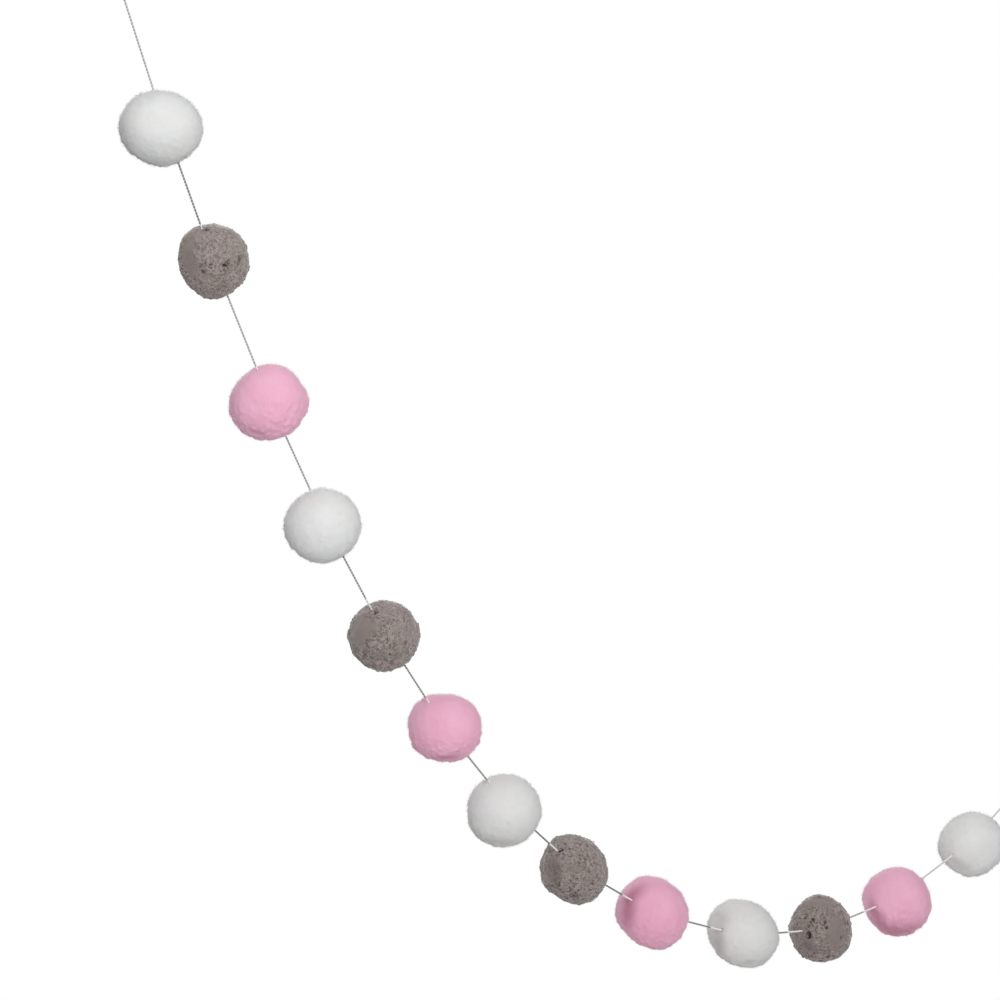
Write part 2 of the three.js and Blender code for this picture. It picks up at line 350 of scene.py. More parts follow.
def smooth_route(points, steps):
    """Points along a smooth curve through the given ones."""
    line = bpy.data.curves.new("smooth_route", "CURVE")
    line.dimensions = "3D"
    line.resolution_u = steps
    spline = line.splines.new("BEZIER")
    spline.bezier_points.add(len(points) - 1)
    for knot, place in zip(spline.bezier_points, points):
        knot.co = place
        knot.handle_left_type = "AUTO"
        knot.handle_right_type = "AUTO"
    holder = bpy.data.objects.new("smooth_route", line)
    bpy.context.collection.objects.link(holder)
    mesh = holder.to_mesh()
    route = [vertex.co.copy() for vertex in mesh.vertices]
    holder.to_mesh_clear()
    bpy.data.objects.remove(holder)
    return route


def end_loop(name, face, outward):
    """A loop, its knot and its tail. The knot starts at face, and the loop points along outward."""
    sideways = Vector((-outward.z, 0, outward.x))
    forward = Vector((0, -1, 0))
    top = KNOT_LENGTH + LOOP_LENGTH
    half = LOOP_WIDTH / 2
    neck = THREAD_DIAMETER * 0.55
    outline = [
        (0.1 * KNOT_LENGTH, neck),
        (KNOT_LENGTH, neck),
        (KNOT_LENGTH + 0.4 * LOOP_LENGTH, 0.6 * half),
        (KNOT_LENGTH + 0.75 * LOOP_LENGTH, half),
        (KNOT_LENGTH + 0.93 * LOOP_LENGTH, 0.6 * half),
    ]
    sides = outline + [(top, 0)] + [(along, -aside) for along, aside in reversed(outline)]
    loop_points = [face + outward * along + sideways * aside for along, aside in sides]
    wraps = []
    for step in range(KNOT_WRAPS * WRAP_STEPS + 1):
        turn = 2 * math.pi * step / WRAP_STEPS
        along = KNOT_LENGTH * step / (KNOT_WRAPS * WRAP_STEPS)
        round_it = sideways * math.cos(turn) * WRAP_RADIUS + forward * math.sin(turn) * WRAP_RADIUS
        wraps.append(face + outward * along + round_it)
    tail_points = [
        wraps[0] - sideways * aside - outward * back + forward * ahead for aside, back, ahead in TAIL_ROUTE
    ]
    parts = [
        twisted_thread(name + "_strand", smooth_route(loop_points, BEND_STEPS)),
        twisted_thread(name + "_wraps", wraps),
        twisted_thread(name + "_tail", smooth_route(tail_points, TAIL_STEPS)),
    ]
    return join(parts, name)


for side, knot, inner in (("left", corners[0], corners[1]), ("right", corners[-1], corners[-2])):
    loop = end_loop("hanging_loop_" + side, knot, (knot - inner).normalized())
    store(loop, "clean", [LOOP_PAINTED_LIGHT] * len(loop.data.vertices))
    loop.data.materials.append(cotton)
    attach(loop, "root")
    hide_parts("end_loop_" + side)

# The balls are wool, wetted and rolled by hand until it mats, and threaded with a long needle, so that the
# wool closes round the thread. White and pink wool is soft, with tufts that stand up on the side that was
# rubbed least. Taupe wool is curly and mats into small nubs, with pits between them painted dark as shade.
TUFT_SIDE = to_right * 0.15 - to_top * 0.95
# Wool up to GRIP_NEAR from the thread's line is drawn in until it touches the thread, and less and less out
# to GRIP_FAR. The two blurs are the steps over the mesh in which its normals are smoothed.
GRIP_NEAR = 0.0007
GRIP_FAR = 0.0022
GRIP_BLUR = 40
SOFT_BLUR = 14
# How many of each feature there are in a metre.
LUMP_SCALE = 240.0
TUFT_SCALE = 430.0
CURLY_SCALE = 150.0
STRAND_SCALES = (640.0, 850.0)
PIT_SCALE = 520.0
DYE_SCALE = 120.0
GRAIN_SCALE = 2600.0
# The share of places for a pit that have none, and how much darker wool looks where it is rubbed.
PITLESS_SHARE = 0.6
RUBBED_SHADE = 0.16
# How much of the true surface shows in the shading, for each unit of relief: everywhere, and in addition
# where tufts stand.
LEAST_SHARE = 0.4
TUFT_SHARE = 1.5
# Other is the colour of patches that took the dye differently, and tip that of what stands up. Shade is the
# colour that darker balls lean towards, and the painted shade of hollows and pressed places. Relief is how
# much of the true surface shows in the shading, and grain how much the fine fibres show. Voxel is how fine
# the mesh is. Inset is how far the ball shrinks to make room for its fuzz, and fill how far the mouths of its
# hole are filled. Lump, tuft, strand and pit are heights, and seed places them.
WOOLS = {
    "white": {
        "colour": (0.822, 0.832, 0.827, 1), "other": (0.817, 0.822, 0.807, 1),
        "shade": (0.45, 0.405, 0.395, 1), "tip": (0.85, 0.85, 0.85, 1),
        "sheen": 0.3, "relief": 0.15, "grain": 0.08,
        "voxel": 0.0005, "inset": 0.0004, "fill": 0.0008,
        "lump": 0.0005, "tuft": 0.0005, "strand": 0.0, "pit": 0.0, "seed": 3.0,
    },
    "taupe": {
        "colour": (0.312, 0.252, 0.244, 1), "other": (0.3, 0.252, 0.228, 1),
        "shade": (0.05, 0.036, 0.037, 1), "tip": (0.54, 0.49, 0.47, 1),
        "sheen": 0.8, "relief": 1.0, "grain": 0.5,
        "voxel": 0.00034, "inset": 0.00058, "fill": 0.0,
        "lump": 0.0006, "tuft": 0.00025, "strand": 0.00055, "pit": 0.0008, "seed": 5.0,
    },
    "pink": {
        "colour": (0.945, 0.52, 0.69, 1), "other": (0.925, 0.485, 0.65, 1),
        "shade": (0.4, 0.12, 0.19, 1), "tip": (0.97, 0.62, 0.77, 1),
        "sheen": 0.4, "relief": 0.4, "grain": 0.16,
        "voxel": 0.0005, "inset": 0.00045, "fill": 0.0008,
        "lump": 0.0005, "tuft": 0.0006, "strand": 0.0, "pit": 0.0, "seed": 8.0,
    },
}
# How much darker each ball is than its kind, from left to right.
DARKER_TONE = [0.0, -0.12, 0.0, 0.0, -0.05, 0.12, 0.15, 0.1, 0.19, 0.22, 0.15, 0.15, 0.08]
# Places where a ball was pressed in, and its wool painted darker there as shade: its node, how far aside and
# up from its middle as seen in the camera's direction, half width, half length, tilt in degrees, depth, and
# how much painted shade darkens it.
PRESSED_AND_SHADED = [
    ("ball_02_taupe", -0.0024, 0.0103, 0.0009, 0.0014, 0, 0.0006, 1.6),
    ("ball_02_taupe", -0.0044, -0.0018, 0.0006, 0.0014, 10, 0.0003, 0.8),
    ("ball_02_taupe", -0.0010, -0.0012, 0.0007, 0.0018, 5, 0.0003, 0.7),
    ("ball_02_taupe", 0.0046, -0.0016, 0.0018, 0.0040, 12, 0.0003, 0.7),
    ("ball_02_taupe", 0.0028, -0.0018, 0.0007, 0.0012, -10, 0.0003, 0.3),
    ("ball_02_taupe", 0.0086, 0.0003, 0.0010, 0.0022, 45, 0.0003, 0.7),
    ("ball_02_taupe", 0.0084, -0.0033, 0.0009, 0.0018, 45, 0.0003, 0.7),
    ("ball_02_taupe", -0.0035, -0.0037, 0.0006, 0.0008, 0, 0.0004, 0.9),
    ("ball_03_pink", 0.0056, -0.0066, 0.0005, 0.0016, 75, 0.0004, 0.3),
    ("ball_03_pink", -0.0035, -0.0103, 0.0018, 0.0050, 0, 0.0001, 0.3),
    ("ball_03_pink", 0.0060, -0.0102, 0.0008, 0.0020, 15, 0.0004, 0.4),
    ("ball_05_taupe", 0.0069, -0.0028, 0.0005, 0.0011, 50, 0.0009, 1.0),
    ("ball_05_taupe", 0.0016, -0.0066, 0.0005, 0.0009, 20, 0.0008, 0.9),
    ("ball_05_taupe", 0.0012, -0.0019, 0.0005, 0.0006, 0, 0.0006, 0.8),
    ("ball_05_taupe", -0.0060, -0.0026, 0.0006, 0.0012, 80, 0.0006, 0.6),
    ("ball_05_taupe", -0.0030, 0.0077, 0.0006, 0.0013, 60, 0.0006, 1.7),
    ("ball_05_taupe", 0.0010, -0.0075, 0.0024, 0.0060, 5, 0.0002, 0.4),
    ("ball_06_pink", 0.0006, -0.0104, 0.0024, 0.0056, 0, 0.0002, 0.45),
    ("ball_06_pink", 0.0047, -0.0082, 0.0005, 0.0006, 0, 0.0004, 0.4),
    ("ball_07_white", -0.0020, -0.0108, 0.0028, 0.0064, -8, 0.0001, 0.35),
    ("ball_08_taupe", -0.0074, -0.0013, 0.0030, 0.0056, 85, 0.0007, 0.3),
    ("ball_08_taupe", -0.0064, -0.0057, 0.0026, 0.0036, 100, 0.0004, 0.3),
    ("ball_08_taupe", -0.0096, 0.0036, 0.0016, 0.0040, 90, 0.0004, 0.35),
    ("ball_08_taupe", -0.0049, 0.0063, 0.0006, 0.0012, 45, 0.0006, 1.6),
    ("ball_08_taupe", 0.0010, -0.0092, 0.0022, 0.0056, 5, 0.0002, 0.4),
    ("ball_08_taupe", 0.0001, -0.0095, 0.0006, 0.0012, 0, 0.0007, 0.8),
    ("ball_08_taupe", -0.0026, -0.0102, 0.0006, 0.0010, 20, 0.0006, 0.7),
    ("ball_08_taupe", 0.0034, -0.0106, 0.0006, 0.0012, -20, 0.0006, 0.7),
    ("ball_09_pink", -0.0090, 0.0010, 0.0036, 0.0080, 85, 0.0002, 0.55),
    ("ball_09_pink", -0.0056, 0.0078, 0.0034, 0.0050, 40, 0.0002, 0.35),
    ("ball_10_white", -0.0092, -0.0036, 0.0034, 0.0060, 70, 0.0005, 0.5),
    ("ball_10_white", -0.0078, 0.0050, 0.0036, 0.0052, 110, 0.0003, 0.3),
    ("ball_10_white", 0.0024, -0.0108, 0.0016, 0.0022, 60, 0.0007, 0.22),
    ("ball_11_taupe", -0.0042, -0.0024, 0.0009, 0.0012, 60, 0.0016, 2.0),
    ("ball_11_taupe", -0.0046, -0.0074, 0.0024, 0.0044, -20, 0.0009, 0.45),
    ("ball_11_taupe", 0.0010, 0.0025, 0.0005, 0.0010, -40, 0.0007, 0.9),
    ("ball_11_taupe", 0.0021, 0.0003, 0.0004, 0.0010, 110, 0.0005, 0.7),
    ("ball_11_taupe", -0.0055, 0.0041, 0.0005, 0.0014, -30, 0.0007, 0.9),
    ("ball_11_taupe", -0.0020, 0.0029, 0.0005, 0.0016, -35, 0.0006, 0.8),
    ("ball_11_taupe", -0.0050, 0.0005, 0.0004, 0.0012, 80, 0.0005, 0.7),
    ("ball_11_taupe", -0.0094, -0.0010, 0.0012, 0.0026, 90, 0.0004, 0.4),
    ("ball_11_taupe", 0.0076, -0.0036, 0.0005, 0.0007, 0, 0.0005, 0.7),
    ("ball_11_taupe", 0.0024, -0.0104, 0.0006, 0.0010, 0, 0.0006, 0.8),
    ("ball_12_pink", -0.0082, -0.0050, 0.0034, 0.0060, 115, 0.0003, 0.5),
    ("ball_12_pink", -0.0006, -0.0112, 0.0048, 0.0110, 5, 0.0001, 0.55),
    ("ball_13_white", -0.0045, -0.0082, 0.0030, 0.0062, -40, 0.0003, 0.35),
]
# Places where the curly wool was rubbed smooth, measured in the same way: half width, half length, tilt in
# degrees, and how smooth.
RUBBED = [
    ("ball_02_taupe", -0.0086, 0.0010, 0.0034, 0.0110, 95, 1.0),
    ("ball_05_taupe", -0.0086, 0.0016, 0.0050, 0.0070, 70, 0.9),
    ("ball_05_taupe", -0.0030, 0.0030, 0.0030, 0.0050, 20, 0.5),
    ("ball_08_taupe", -0.0080, -0.0012, 0.0038, 0.0080, 90, 1.0),
    ("ball_08_taupe", 0.0096, 0.0030, 0.0036, 0.0080, 100, 0.7),
    ("ball_08_taupe", 0.0010, 0.0004, 0.0036, 0.0050, 60, 0.45),
    ("ball_11_taupe", 0.0060, -0.0010, 0.0060, 0.0110, 90, 0.9),
    ("ball_11_taupe", -0.0049, -0.0074, 0.0034, 0.0050, -20, 0.9),
    ("ball_11_taupe", -0.0020, 0.0100, 0.0034, 0.0080, 0, 0.8),
    ("ball_11_taupe", -0.0060, 0.0020, 0.0040, 0.0080, 90, 0.6),
]


def new_group(name, kind, given, put_out):
    """An empty node group with named inputs and outputs. Returns it with its two end nodes."""
    tree = bpy.data.node_groups.new(name, kind)
    for label, socket in given:
        tree.interface.new_socket(label, in_out="INPUT", socket_type="NodeSocket" + socket)
    for label, socket in put_out:
        tree.interface.new_socket(label, in_out="OUTPUT", socket_type="NodeSocket" + socket)
    return tree, tree.nodes.new("NodeGroupInput"), tree.nodes.new("NodeGroupOutput")


def vector_node(tree, operation, *values, output="Vector"):
    """A vector maths node on vectors or sockets."""
    node = add_node(tree, "ShaderNodeVectorMath", dict(enumerate(values)), operation=operation)
    return node.outputs[output]


def scaled(tree, vector, amount):
    """A vector times a number."""
    node = add_node(tree, "ShaderNodeVectorMath", {0: vector, "Scale": amount}, operation="SCALE")
    return node.outputs["Vector"]


def kept_value(tree, name):
    """What a mesh keeps at its points under a name, in a geometry group."""
    node = add_node(tree, "GeometryNodeInputNamedAttribute", {"Name": name}, data_type="FLOAT")
    return node.outputs["Attribute"]


def keep_value(tree, geometry, name, value, data_type="FLOAT"):
    """Keeps a value at each point under a name, and returns the geometry."""
    node = add_node(tree, "GeometryNodeStoreNamedAttribute", {
        "Geometry": geometry, "Name": name, "Value": value,
    }, data_type=data_type, domain="POINT")
    return node.outputs["Geometry"]


def moved_points(tree, geometry, offset):
    """Moves each point of a geometry by its own offset."""
    node = add_node(tree, "GeometryNodeSetPosition", {"Geometry": geometry, "Offset": offset})
    return node.outputs["Geometry"]


def eased(tree, value, start, end, low=0.0, high=1.0):
    """Goes smoothly from low to high as a value goes from start to end."""
    node = add_node(tree, "ShaderNodeMapRange", {
        "Value": value, "From Min": start, "From Max": end, "To Min": low, "To Max": high,
    }, interpolation_type="SMOOTHSTEP")
    return node.outputs["Result"]


def gripping_group():
    """Node group that draws each hole's rim in until the wool touches the thread, and fills its mouth."""
    tree, given, result = new_group("gripping", "GeometryNodeTree", [
        ("Geometry", "Geometry"), ("Line", "Object"), ("Fill", "Float"),
    ], [("Geometry", "Geometry")])
    line = add_node(tree, "GeometryNodeObjectInfo", {"Object": given.outputs["Line"]})
    near = add_node(tree, "GeometryNodeProximity", {
        "Geometry": line.outputs["Geometry"],
    }, target_element="EDGES")
    place = add_node(tree, "GeometryNodeInputPosition")
    normal = add_node(tree, "GeometryNodeInputNormal")
    outward = add_node(tree, "GeometryNodeBlurAttribute", {
        "Value": normal.outputs["Normal"], "Iterations": GRIP_BLUR,
    }, data_type="FLOAT_VECTOR")
    amount = eased(tree, near.outputs["Distance"], GRIP_NEAR, GRIP_FAR, 1.0, 0.0)
    swell = math_node(tree, "MULTIPLY", amount, given.outputs["Fill"])
    bulge = scaled(tree, outward.outputs["Value"], swell)
    inward = vector_node(tree, "SUBTRACT", near.outputs["Position"], place.outputs["Position"])
    reach = math_node(tree, "MULTIPLY", amount, GRIP_NEAR - THREAD_RADIUS)
    pull = scaled(tree, vector_node(tree, "NORMALIZE", inward), reach)
    kept = keep_value(tree, given.outputs["Geometry"], "gripped", amount)
    moved = moved_points(tree, kept, vector_node(tree, "ADD", bulge, pull))
    tree.links.new(moved, result.inputs["Geometry"])
    return tree


def pressing_group():
    """Node group that presses or rubs one place of a ball, and keeps how much it is rubbed and painted
    darker.
    """
    tree, given, result = new_group("pressing", "GeometryNodeTree", [
        ("Geometry", "Geometry"), ("Place", "Vector"), ("Along", "Vector"), ("Width", "Float"),
        ("Length", "Float"), ("Depth", "Float"), ("Darker", "Float"), ("Smoother", "Float"),
    ], [("Geometry", "Geometry")])
    place = add_node(tree, "GeometryNodeInputPosition")
    normal = add_node(tree, "GeometryNodeInputNormal")
    offset = vector_node(tree, "SUBTRACT", place.outputs["Position"], given.outputs["Place"])
    along = vector_node(tree, "DOT_PRODUCT", offset, given.outputs["Along"], output="Value")
    ratio = math_node(tree, "DIVIDE", given.outputs["Width"], given.outputs["Length"])
    shorter = math_node(tree, "MULTIPLY", along, math_node(tree, "SUBTRACT", 1.0, ratio))
    squeezed = vector_node(tree, "SUBTRACT", offset, scaled(tree, given.outputs["Along"], shorter))
    distance = vector_node(tree, "LENGTH", squeezed, output="Value")
    fall = eased(tree, math_node(tree, "DIVIDE", distance, given.outputs["Width"]), 0.0, 1.6, 1.0, 0.0)
    geometry = given.outputs["Geometry"]
    for name, amount in (("pressed", "Darker"), ("rubbed", "Smoother")):
        more = math_node(tree, "MULTIPLY_ADD", fall, given.outputs[amount], kept_value(tree, name))
        geometry = keep_value(tree, geometry, name, more)
    depth = math_node(tree, "MULTIPLY", math_node(tree, "MULTIPLY", fall, given.outputs["Depth"]), -1.0)
    moved = moved_points(tree, geometry, scaled(tree, normal.outputs["Normal"], depth))
    tree.links.new(moved, result.inputs["Geometry"])
    return tree


def matting_group():
    """Node group that raises lumps, tufts and nubs, sinks pits, and keeps what the material needs."""
    tree, given, result = new_group("matting", "GeometryNodeTree", [
        ("Geometry", "Geometry"), ("Inset", "Float"), ("Lump", "Float"), ("Tuft", "Float"),
        ("Strand", "Float"), ("Pit", "Float"), ("Seed", "Float"),
    ], [("Geometry", "Geometry")])
    place = add_node(tree, "GeometryNodeInputPosition")
    normal = add_node(tree, "GeometryNodeInputNormal")

    def noise(scale, detail):
        node = add_node(tree, "ShaderNodeTexNoise", {
            "Vector": place.outputs["Position"], "W": given.outputs["Seed"], "Scale": scale, "Detail": detail,
        }, noise_dimensions="4D")
        return node.outputs["Fac"]

    softened = add_node(tree, "GeometryNodeBlurAttribute", {
        "Value": normal.outputs["Normal"], "Iterations": SOFT_BLUR,
    }, data_type="FLOAT_VECTOR")
    geometry = keep_value(
        tree, given.outputs["Geometry"], "soft_normal", softened.outputs["Value"], "FLOAT_VECTOR",
    )
    # Lumps lie everywhere, and tufts stand highest on the side that was rubbed least.
    swelling = math_node(tree, "SUBTRACT", noise(LUMP_SCALE, 1.0), 0.5)
    lump = math_node(tree, "MULTIPLY", swelling, given.outputs["Lump"])
    facing = vector_node(tree, "DOT_PRODUCT", normal.outputs["Normal"], TUFT_SIDE, output="Value")
    standing = eased(tree, facing, -0.5, 0.6, 0.35, 1.0)
    geometry = keep_value(tree, geometry, "ruffled", standing)
    tufts = math_node(tree, "MULTIPLY", eased(tree, noise(TUFT_SCALE, 2.0), 0.42, 0.72), standing)
    tuft = math_node(tree, "MULTIPLY", tufts, given.outputs["Tuft"])
    # Curly wool has strands where a noise passes through its middle value, but not where it was rubbed.
    rough = eased(tree, kept_value(tree, "rubbed"), 0.2, 0.8, 1.0, 0.0)
    curly = math_node(tree, "MULTIPLY", eased(tree, noise(CURLY_SCALE, 1.0), 0.36, 0.54, 0.35, 1.0), rough)

    def strands(scale):
        middle = math_node(tree, "ABSOLUTE", math_node(tree, "SUBTRACT", noise(scale, 0.5), 0.5))
        return eased(tree, middle, 0.0, 0.09, 1.0, 0.0)

    lines = math_node(tree, "MAXIMUM", *[strands(scale) for scale in STRAND_SCALES])
    strand = math_node(tree, "MULTIPLY", lines, curly)
    loops = math_node(tree, "MULTIPLY", strand, given.outputs["Strand"])
    # Pits are funnels in the middle of some cells.
    pores = add_node(tree, "ShaderNodeTexVoronoi", {
        "Vector": place.outputs["Position"], "Scale": PIT_SCALE,
    }, feature="F1")
    lot = vector_node(tree, "DOT_PRODUCT", pores.outputs["Color"], (1.0, 0.0, 0.0), output="Value")
    chosen = math_node(tree, "GREATER_THAN", lot, PITLESS_SHARE)
    funnel = eased(tree, pores.outputs["Distance"], 0.06, 0.32, 1.0, 0.0)
    opening = math_node(tree, "MULTIPLY", funnel, chosen)
    pore = math_node(tree, "MULTIPLY", opening, curly)
    pit = math_node(tree, "MULTIPLY", pore, given.outputs["Pit"])
    raised = math_node(tree, "ADD", math_node(tree, "ADD", lump, tuft), loops)
    settled = math_node(tree, "SUBTRACT", math_node(tree, "SUBTRACT", raised, pit), given.outputs["Inset"])
    loose = math_node(tree, "SUBTRACT", 1.0, kept_value(tree, "gripped"))
    rise = math_node(tree, "MULTIPLY", settled, loose)
    # The material paints shade into what is hollow, the gaps between strands and the pits, and lightens what
    # is below nought, which is the strands.
    between = math_node(tree, "MULTIPLY", math_node(tree, "SUBTRACT", curly, strand), 0.5)
    gaps = math_node(tree, "ADD", between, math_node(tree, "MULTIPLY", pore, 0.5))
    hollow = math_node(tree, "SUBTRACT", gaps, math_node(tree, "MULTIPLY", strand, 0.3))
    geometry = keep_value(tree, geometry, "hollow", hollow)
    # Strands that cross a pressed place are kept out of its painted shade, but not in the darkest ones.
    pressed = kept_value(tree, "pressed")
    has_strands = math_node(tree, "GREATER_THAN", given.outputs["Strand"], 0.0)
    crossed = math_node(tree, "MULTIPLY", lines, has_strands)
    veil = eased(tree, pressed, 1.2, 1.5, 0.75, 0.0)
    bare = math_node(tree, "SUBTRACT", 1.0, math_node(tree, "MULTIPLY", crossed, veil))
    geometry = keep_value(tree, geometry, "pressed", math_node(tree, "MULTIPLY", pressed, bare))
    moved = moved_points(tree, geometry, scaled(tree, normal.outputs["Normal"], rise))
    tree.links.new(moved, result.inputs["Geometry"])
    return tree


def work(piece, name, group, values):
    """Adds a node modifier to a piece, and gives the group's inputs their values by name."""
    modifier = piece.modifiers.new(name, "NODES")
    modifier.node_group = group
    for item in group.interface.items_tree:
        if item.item_type == "SOCKET" and item.in_out == "INPUT" and item.name in values:
            modifier[item.identifier] = values[item.name]


def pressed_places(node, ball):
    """Where and how one ball is pressed in or rubbed, as inputs of the pressing group."""
    low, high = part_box(node)
    middle = (Vector(low) + Vector(high)) / 2
    sight = (camera.location - middle).normalized()
    pressed = [(*row, 0.0) for row in PRESSED_AND_SHADED if row[0] == node]
    rubbed = [(*row[:6], 0.0, 0.0, row[6]) for row in RUBBED if row[0] == node]
    places = []
    for _, aside, up, width, length, tilt, depth, darker, smoother in pressed + rubbed:
        start = middle + to_right * aside + to_top * up + sight * (high[2] - low[2])
        _, place, _, _ = ball.ray_cast(start, -sight)
        turn = math.radians(tilt)
        places.append({
            "Place": place,
            "Along": to_right * math.cos(turn) + to_top * math.sin(turn),
            "Width": width, "Length": length, "Depth": depth, "Darker": darker, "Smoother": smoother,
        })
    return places


def wool_ball(node, wool, darker):
    """A ball with the shape and the hole of its CAD node, made fine, pressed in and matted."""
    ball = frame["nodes"][node].copy()
    ball.data = ball.data.copy()
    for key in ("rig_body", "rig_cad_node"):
        del ball[key]
    ball.parent = None
    ball.name = node.replace("ball", "wool_ball")
    ball.data.name = ball.name
    ball.data.materials.clear()
    bpy.context.collection.objects.link(ball)
    pick(ball)
    bpy.ops.object.mode_set(mode="EDIT")
    bpy.ops.mesh.select_all(action="SELECT")
    bpy.ops.mesh.remove_doubles(threshold=MERGE_DISTANCE)
    bpy.ops.object.mode_set(mode="OBJECT")
    rounding = ball.modifiers.new("rounding", "SUBSURF")
    rounding.levels = 2
    rounding.render_levels = 2
    meshing = ball.modifiers.new("meshing", "REMESH")
    meshing.mode = "VOXEL"
    meshing.voxel_size = wool["voxel"]
    easing = ball.modifiers.new("easing", "SMOOTH")
    easing.factor = 0.5
    easing.iterations = 4
    work(ball, "gripping", grip_nodes, {"Line": grip_line, "Fill": wool["fill"]})
    apply_modifiers(ball)
    # The darkening starts at the ball's darker tone, and pressed places add painted shade to it.
    store(ball, "pressed", [darker] * len(ball.data.vertices))
    for index, values in enumerate(pressed_places(node, ball)):
        work(ball, "pressing_%d" % index, press_nodes, values)
    work(ball, "matting", mat_nodes, {
        "Inset": wool["inset"], "Lump": wool["lump"], "Tuft": wool["tuft"],
        "Strand": wool["strand"], "Pit": wool["pit"], "Seed": wool["seed"],
    })
    apply_modifiers(ball)
    bpy.ops.object.shade_smooth()
    return ball


def wool_group():
    """Node group for matted wool: uneven dye, painted hollow and pressed shade, light strands, fine crossed
    fibres.
    """
    tree, given, result = new_group("matted_wool", "ShaderNodeTree", [
        ("Colour", "Color"), ("Other", "Color"), ("Shade", "Color"), ("Tip", "Color"),
        ("Hollow", "Float"), ("Grain", "Float"),
    ], [("Colour", "Color"), ("Height", "Float")])
    place = add_node(tree, "ShaderNodeTexCoord")
    patches = add_node(tree, "ShaderNodeTexNoise", {
        "Vector": place.outputs["Object"], "Scale": DYE_SCALE, "Detail": 1.0,
    })
    fibres = add_node(tree, "ShaderNodeTexNoise", {
        "Vector": place.outputs["Object"], "Scale": GRAIN_SCALE, "Detail": 4.0, "Roughness": 0.7,
    })
    patch = eased(tree, patches.outputs["Fac"], 0.4, 0.62)
    dye = mix_colours(tree, patch, given.outputs["Colour"], given.outputs["Other"])
    rubbed = point_value(tree, "rubbed")
    centred = math_node(tree, "SUBTRACT", fibres.outputs["Fac"], 0.5)
    crossing = math_node(tree, "MULTIPLY", centred, given.outputs["Grain"])
    grain = math_node(tree, "MULTIPLY", crossing, eased(tree, rubbed, 0.0, 1.0, 1.0, 0.4))
    # Darker balls and the painted shade of pressed places mix towards the shade colour, and so does rubbed
    # wool.
    rubbed_and_darkened = math_node(tree, "MULTIPLY_ADD", rubbed, RUBBED_SHADE, point_value(tree, "pressed"))
    amount = math_node(tree, "ADD", math_node(tree, "ADD", grain, given.outputs["Hollow"]), rubbed_and_darkened)
    dark = add_node(tree, "ShaderNodeClamp", {"Value": amount})
    light = add_node(tree, "ShaderNodeClamp", {"Value": math_node(tree, "MULTIPLY", amount, -1.0)})
    shaded = mix_colours(tree, dark.outputs["Result"], dye, given.outputs["Shade"])
    colour = mix_colours(tree, light.outputs["Result"], shaded, given.outputs["Tip"])
    tree.links.new(colour, result.inputs["Colour"])
    tree.links.new(fibres.outputs["Fac"], result.inputs["Height"])
    return tree


def soft_normal(tree, bumped, relief):
    """Shades like the smooth ball under the tufts, with more of the true surface left where they stand."""
    ruffled = point_value(tree, "ruffled")
    share = math_node(tree, "MULTIPLY_ADD", ruffled, TUFT_SHARE * relief, LEAST_SHARE * relief)
    in_world = add_node(tree, "ShaderNodeVectorTransform", {
        "Vector": point_value(tree, "soft_normal", "Vector"),
    }, vector_type="NORMAL", convert_from="OBJECT", convert_to="WORLD")
    mixed = add_node(tree, "ShaderNodeMix", {
        "Factor": share, "A": in_world.outputs["Vector"], "B": bumped,
    }, data_type="VECTOR")
    return vector_node(tree, "NORMALIZE", mixed.outputs["Result"])


def wool_material(name, wool):
    """Wool of one colour. Its sheen is the light that the fuzz catches at a ball's outline."""
    material = bpy.data.materials.new(name)
    material.use_nodes = True
    tree = material.node_tree
    shader = tree.nodes["Principled BSDF"]
    felt = add_node(tree, "ShaderNodeGroup", node_tree=wool_nodes)
    for label in ("Colour", "Other", "Shade", "Tip", "Grain"):
        felt.inputs[label].default_value = wool[label.lower()]
    # Only curly wool gets the painted shade of its hollows.
    curled = math_node(tree, "MULTIPLY", point_value(tree, "hollow"), 1.0 if wool["strand"] else 0.0)
    tree.links.new(curled, felt.inputs["Hollow"])
    bump = add_node(tree, "ShaderNodeBump", {
        "Height": felt.outputs["Height"], "Strength": 0.5, "Distance": 0.00015,
    })
    normal = soft_normal(tree, bump.outputs["Normal"], wool["relief"])
    tree.links.new(felt.outputs["Colour"], shader.inputs["Base Color"])
    tree.links.new(normal, shader.inputs["Normal"])
    shader.inputs["Roughness"].default_value = 0.95
    shader.inputs["Specular IOR Level"].default_value = 0.1
    shader.inputs["Sheen Weight"].default_value = wool["sheen"]
    shader.inputs["Sheen Roughness"].default_value = 0.4
    return material


grip_nodes = gripping_group()
press_nodes = pressing_group()
mat_nodes = matting_group()
wool_nodes = wool_group()
line_mesh = bpy.data.meshes.new("grip_line")
line_mesh.from_pydata(thread_line, [(step, step + 1) for step in range(len(thread_line) - 1)], [])
grip_line = bpy.data.objects.new("grip_line", line_mesh)
bpy.context.collection.objects.link(grip_line)

# The fuzz is short wool fibres that stand up out of the matted surface, and lean over together in small
# locks. Curly wool has small loops as well. One fibre and one loop are modelled, and each ball gets
# thousands of them.
FIBRE_LENGTH = 0.0011
FIBRE_THICKNESS = 0.00008
FIBRE_BEND = 0.12
CURL_RADIUS = 0.0007
CURL_THICKNESS = 0.00026
LOCK_SCALE = 520.0
LOCK_PULL = 4.0
# How much of the wool's painted hollow shade the fuzz takes on.
HOLLOW_SHADE_SHARE = 0.5
FIRST_SEED = 11
LAYER_SEEDS = 50
SPIN_SEEDS = 3.0
SIZE_SEEDS = 7.0


